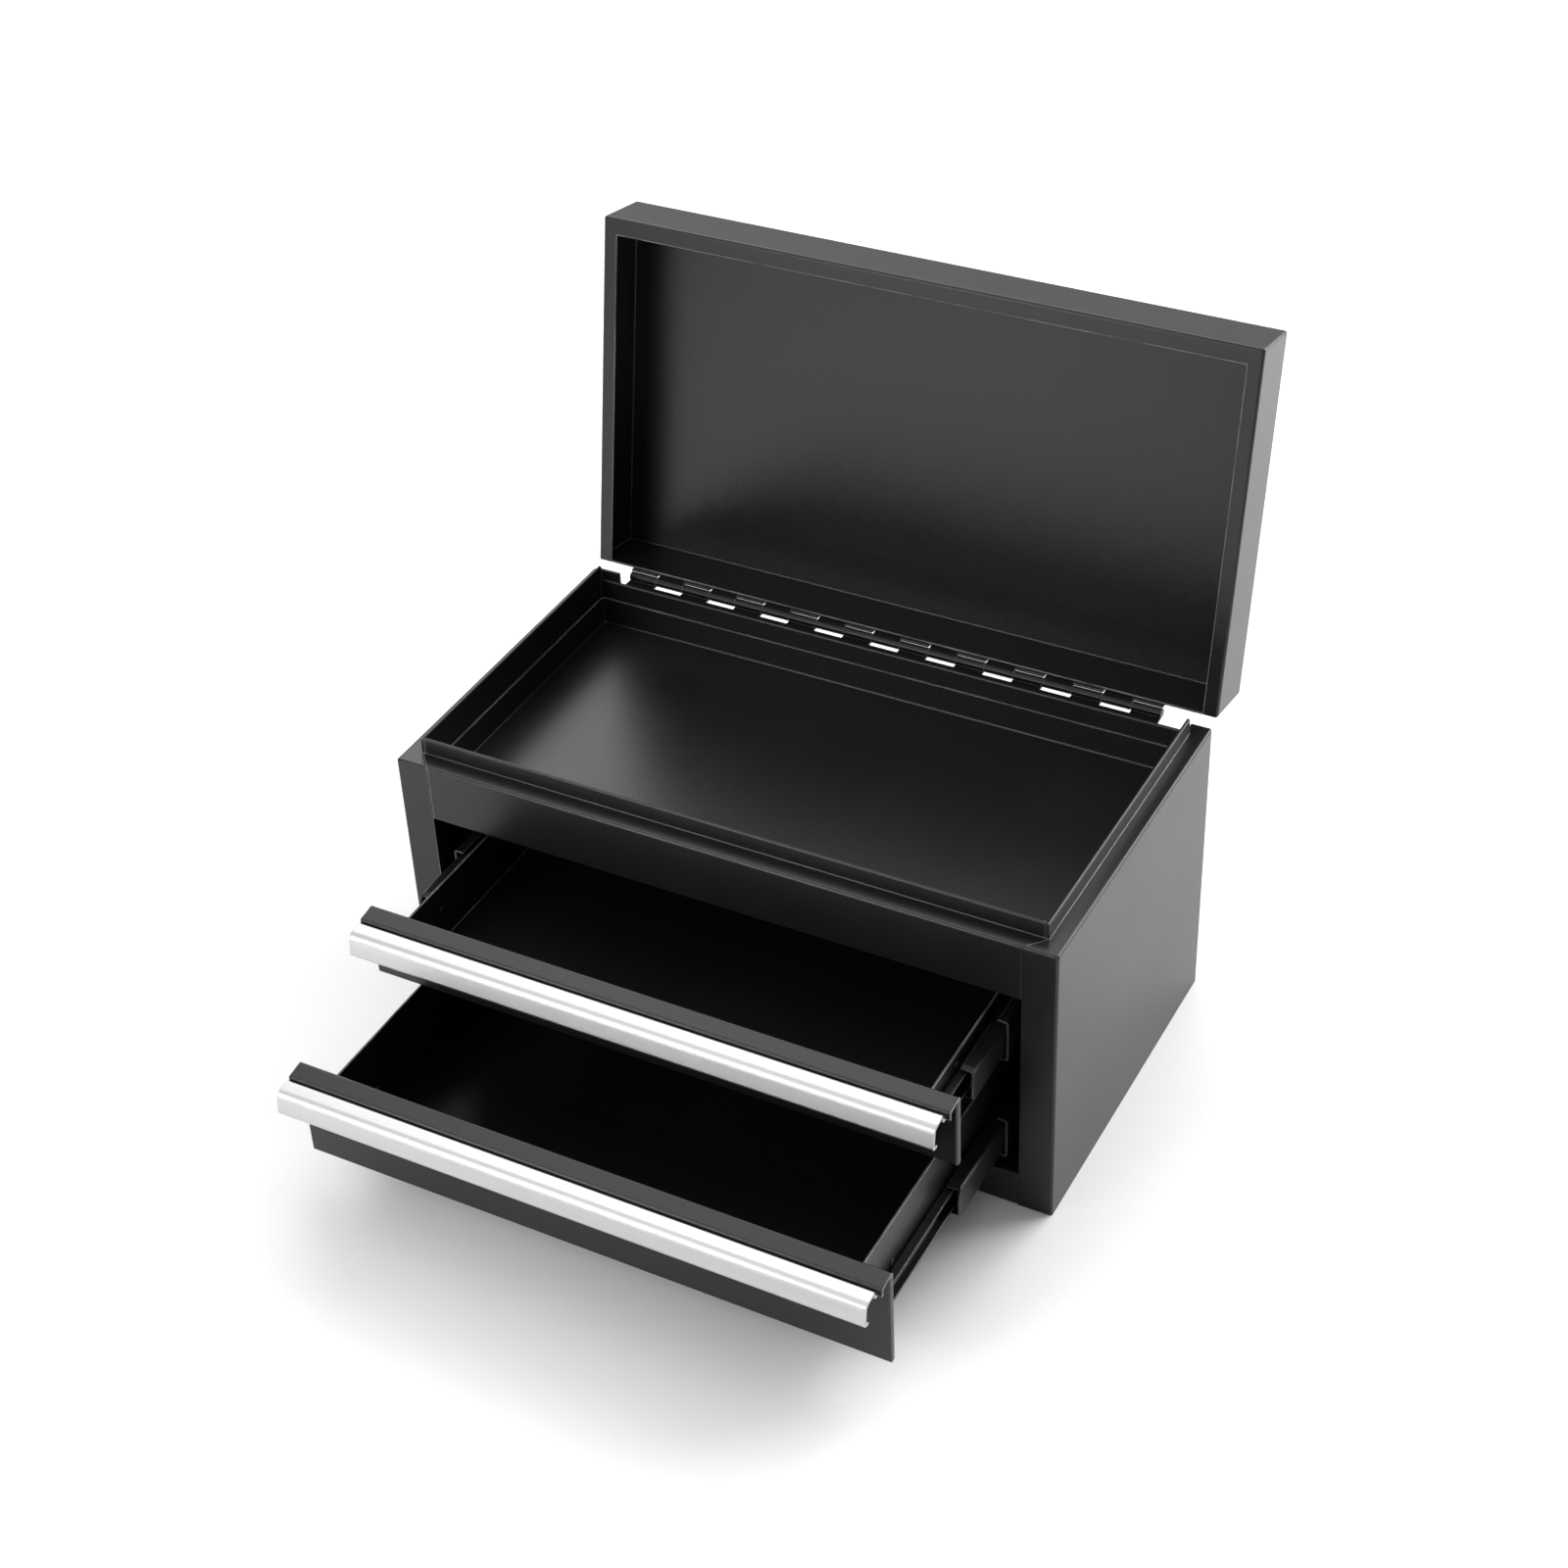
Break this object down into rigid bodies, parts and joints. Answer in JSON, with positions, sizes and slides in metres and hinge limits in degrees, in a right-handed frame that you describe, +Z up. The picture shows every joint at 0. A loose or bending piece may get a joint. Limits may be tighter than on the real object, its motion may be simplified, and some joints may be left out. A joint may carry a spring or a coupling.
{
  "type": "machinist tool chest",
  "caption": "Black sheet-steel bench-top tool chest with a hinged lid, an open top tray and drawers on ball-bearing slides with aluminium pull strips.",
  "frame": {"origin": "middle of the cabinet's base, on its underside", "axes": "+Z up, -Y towards the drawer fronts, +X to the right of someone facing them"},
  "size_m": [0.32, 0.3735, 0.3181],
  "materials": {
    "black_powder_coat": "semi-gloss black powder coat",
    "black_steel": "black-coated steel, satin",
    "satin_aluminium": "satin anodised",
    "zinc_steel": "zinc plated",
    "bright_steel": "polished"
  },
  "bodies": {
    "cabinet": {"side_left": "black_powder_coat", "side_right": "black_powder_coat", "header": "black_powder_coat", "back_panel": "black_powder_coat", "base_pan": "black_powder_coat", "tray_pan": "black_powder_coat", "post_front_left": "black_steel", "post_front_right": "black_steel", "post_rear_left": "black_steel", "post_rear_right": "black_steel", "hinge_lower_leaf": "black_steel", "hinge_pin": "black_steel", "cabinet_rivets": "black_steel", "upper_slide_outer_left": "black_steel", "upper_slide_outer_right": "black_steel", "lower_slide_outer_left": "black_steel", "lower_slide_outer_right": "black_steel"},
    "lid": {"lid_shell": "black_powder_coat", "hinge_upper_leaf": "black_steel"},
    "upper_drawer": {"upper_pan": "black_powder_coat", "upper_face": "black_powder_coat", "upper_handle": "satin_aluminium", "upper_rivets": "black_steel", "upper_slide_inner_left": "black_steel", "upper_slide_inner_right": "black_steel"},
    "upper_middle_members": {"upper_slide_middle_left": "black_steel", "upper_slide_middle_right": "black_steel"},
    "upper_outer_ball_cages": {"upper_outer_cages": "zinc_steel", "upper_outer_balls": "bright_steel"},
    "upper_inner_ball_cages": {"upper_inner_cages": "zinc_steel", "upper_inner_balls": "bright_steel"},
    "lower_drawer": {"lower_pan": "black_powder_coat", "lower_face": "black_powder_coat", "lower_handle": "satin_aluminium", "lower_rivets": "black_steel", "lower_slide_inner_left": "black_steel", "lower_slide_inner_right": "black_steel"},
    "lower_middle_members": {"lower_slide_middle_left": "black_steel", "lower_slide_middle_right": "black_steel"},
    "lower_outer_ball_cages": {"lower_outer_cages": "zinc_steel", "lower_outer_balls": "bright_steel"},
    "lower_inner_ball_cages": {"lower_inner_cages": "zinc_steel", "lower_inner_balls": "bright_steel"}
  },
  "joints": [
    {"name": "lid_hinge", "type": "hinge", "parent": "cabinet", "child": "lid", "pos_m": [0, 0.0896, 0.1457], "axis": [-1, 0, 0], "range_deg": [-100, 0]},
    {"name": "upper_drawer_slide", "type": "slide", "parent": "cabinet", "child": "upper_drawer", "axis": [0, -1, 0], "range_m": [-0.057, 0.083]},
    {"name": "upper_middle_slide", "type": "slide", "parent": "cabinet", "child": "upper_middle_members", "axis": [0, -1, 0], "range_m": [-0.03193, 0.04649]},
    {"name": "upper_outer_cage_slide", "type": "slide", "parent": "cabinet", "child": "upper_outer_ball_cages", "axis": [0, -1, 0], "range_m": [-0.01597, 0.02325]},
    {"name": "upper_inner_cage_slide", "type": "slide", "parent": "cabinet", "child": "upper_inner_ball_cages", "axis": [0, -1, 0], "range_m": [-0.04447, 0.06475]},
    {"name": "lower_drawer_slide", "type": "slide", "parent": "cabinet", "child": "lower_drawer", "axis": [0, -1, 0], "range_m": [-0.12, 0.02]},
    {"name": "lower_middle_slide", "type": "slide", "parent": "cabinet", "child": "lower_middle_members", "axis": [0, -1, 0], "range_m": [-0.04501, 0.00751]},
    {"name": "lower_outer_cage_slide", "type": "slide", "parent": "cabinet", "child": "lower_outer_ball_cages", "axis": [0, -1, 0], "range_m": [-0.02251, 0.00376]},
    {"name": "lower_inner_cage_slide", "type": "slide", "parent": "cabinet", "child": "lower_inner_ball_cages", "axis": [0, -1, 0], "range_m": [-0.08251, 0.01376]}
  ],
  "couplings": [
    {"joint": "upper_middle_slide", "follows": "upper_drawer_slide", "ratio": 0.56},
    {"joint": "upper_outer_cage_slide", "follows": "upper_drawer_slide", "ratio": 0.28},
    {"joint": "upper_inner_cage_slide", "follows": "upper_drawer_slide", "ratio": 0.78},
    {"joint": "lower_middle_slide", "follows": "lower_drawer_slide", "ratio": 0.375},
    {"joint": "lower_outer_cage_slide", "follows": "lower_drawer_slide", "ratio": 0.1875},
    {"joint": "lower_inner_cage_slide", "follows": "lower_drawer_slide", "ratio": 0.6875}
  ]
}
